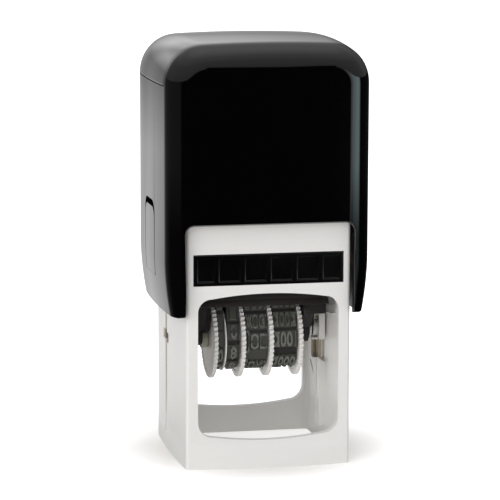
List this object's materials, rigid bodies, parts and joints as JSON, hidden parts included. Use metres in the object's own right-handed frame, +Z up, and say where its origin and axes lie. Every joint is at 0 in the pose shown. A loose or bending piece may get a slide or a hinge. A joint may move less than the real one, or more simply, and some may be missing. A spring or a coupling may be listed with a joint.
{
  "type": "self-inking date stamp",
  "caption": "Free-standing sprung cap over a windowed base; pressing it turns a carriage with a rubber text die and adjustable date bands from the ink pad to the paper.",
  "frame": {"origin": "middle of the base's foot, on the surface that the stamp stands on", "axes": "+Z up along the cap's travel, +X to the right seen from the front, the front towards -Y; +Z is the longest extent"},
  "size_m": [0.0468, 0.042, 0.095],
  "materials": {
    "white_plastic": "cool white moulded plastic, fine satin",
    "satin_black": "satin black moulded plastic",
    "ink_felt": "felt soaked in black ink",
    "steel": "bright spring steel",
    "gloss_black": "polished black moulded plastic",
    "card": "plain printed-card stock, matt",
    "carriage_brown": "brown-black moulded plastic",
    "die_rubber": "dark engraved rubber",
    "band_rubber": "grey moulded rubber",
    "spacer_beige": "greenish beige moulded plastic",
    "wheel_white": "white moulded plastic"
  },
  "bodies": {
    "base": {"base_frame": "white_plastic", "main_spring": "steel"},
    "cassette": {"ink_cassette": "satin_black", "ink_pad": "ink_felt"},
    "cap": {"cap_shell": "gloss_black", "inner_yoke": "white_plastic", "index_card": "card"},
    "cover": {"top_cover": "gloss_black"},
    "left_tongue": {"left_release_tongue": "gloss_black"},
    "right_tongue": {"right_release_tongue": "gloss_black"},
    "carriage": {"carriage_frame": "carriage_brown", "rubber_die": "die_rubber", "band_guide": "carriage_brown", "day_tens_band": "band_rubber", "day_ones_band": "band_rubber", "month_band": "band_rubber", "year_band": "band_rubber", "wheel_axle": "steel", "left_axle_spacer": "spacer_beige", "right_axle_spacer": "spacer_beige", "separator_disc": "wheel_white"},
    "day_tens_wheel_body": {"day_tens_wheel": "wheel_white"},
    "day_ones_wheel_body": {"day_ones_wheel": "wheel_white"},
    "month_wheel_body": {"month_wheel": "wheel_white"},
    "year_wheel_body": {"year_wheel": "wheel_white"}
  },
  "joints": [
    {"name": "cap_press", "type": "slide", "parent": "base", "child": "cap", "axis": [0, 0, -1], "range_m": [0, 0.0165], "stiffness_N_per_m": 600, "springref_m": -0.01, "deforming": ["main_spring"]},
    {"name": "carriage_flip", "type": "hinge", "parent": "cap", "child": "carriage", "pos_m": [0, 0, 0.0275], "axis": [1, 0, 0], "range_deg": [0, 180]},
    {"name": "cassette_slide", "type": "slide", "parent": "base", "child": "cassette", "axis": [0, 1, 0], "range_m": [-0.03, 0]},
    {"name": "cover_lift", "type": "slide", "parent": "cap", "child": "cover", "axis": [0, 0, 1], "range_m": [0, 0.014]},
    {"name": "left_tongue_press", "type": "hinge", "parent": "cap", "child": "left_tongue", "pos_m": [-0.0212, 0.0003, 0.0417], "axis": [0, 1, 0], "range_deg": [0, 6], "stiffness_Nm_per_rad": 0.4},
    {"name": "right_tongue_press", "type": "hinge", "parent": "cap", "child": "right_tongue", "pos_m": [0.0212, 0.0003, 0.0417], "axis": [0, -1, 0], "range_deg": [0, 6], "stiffness_Nm_per_rad": 0.4},
    {"name": "day_tens_spin", "type": "hinge", "parent": "carriage", "child": "day_tens_wheel_body", "pos_m": [-0.0089, 0, 0.0259], "axis": [1, 0, 0], "continuous": true},
    {"name": "day_ones_spin", "type": "hinge", "parent": "carriage", "child": "day_ones_wheel_body", "pos_m": [-0.005, 0, 0.0259], "axis": [1, 0, 0], "continuous": true},
    {"name": "month_spin", "type": "hinge", "parent": "carriage", "child": "month_wheel_body", "pos_m": [0.0003, 0, 0.0259], "axis": [1, 0, 0], "continuous": true},
    {"name": "year_spin", "type": "hinge", "parent": "carriage", "child": "year_wheel_body", "pos_m": [0.0069, 0, 0.0259], "axis": [1, 0, 0], "continuous": true}
  ],
  "couplings": [
    {"joint": "carriage_flip", "follows": "cap_press", "rad_per_m": 190.39}
  ]
}
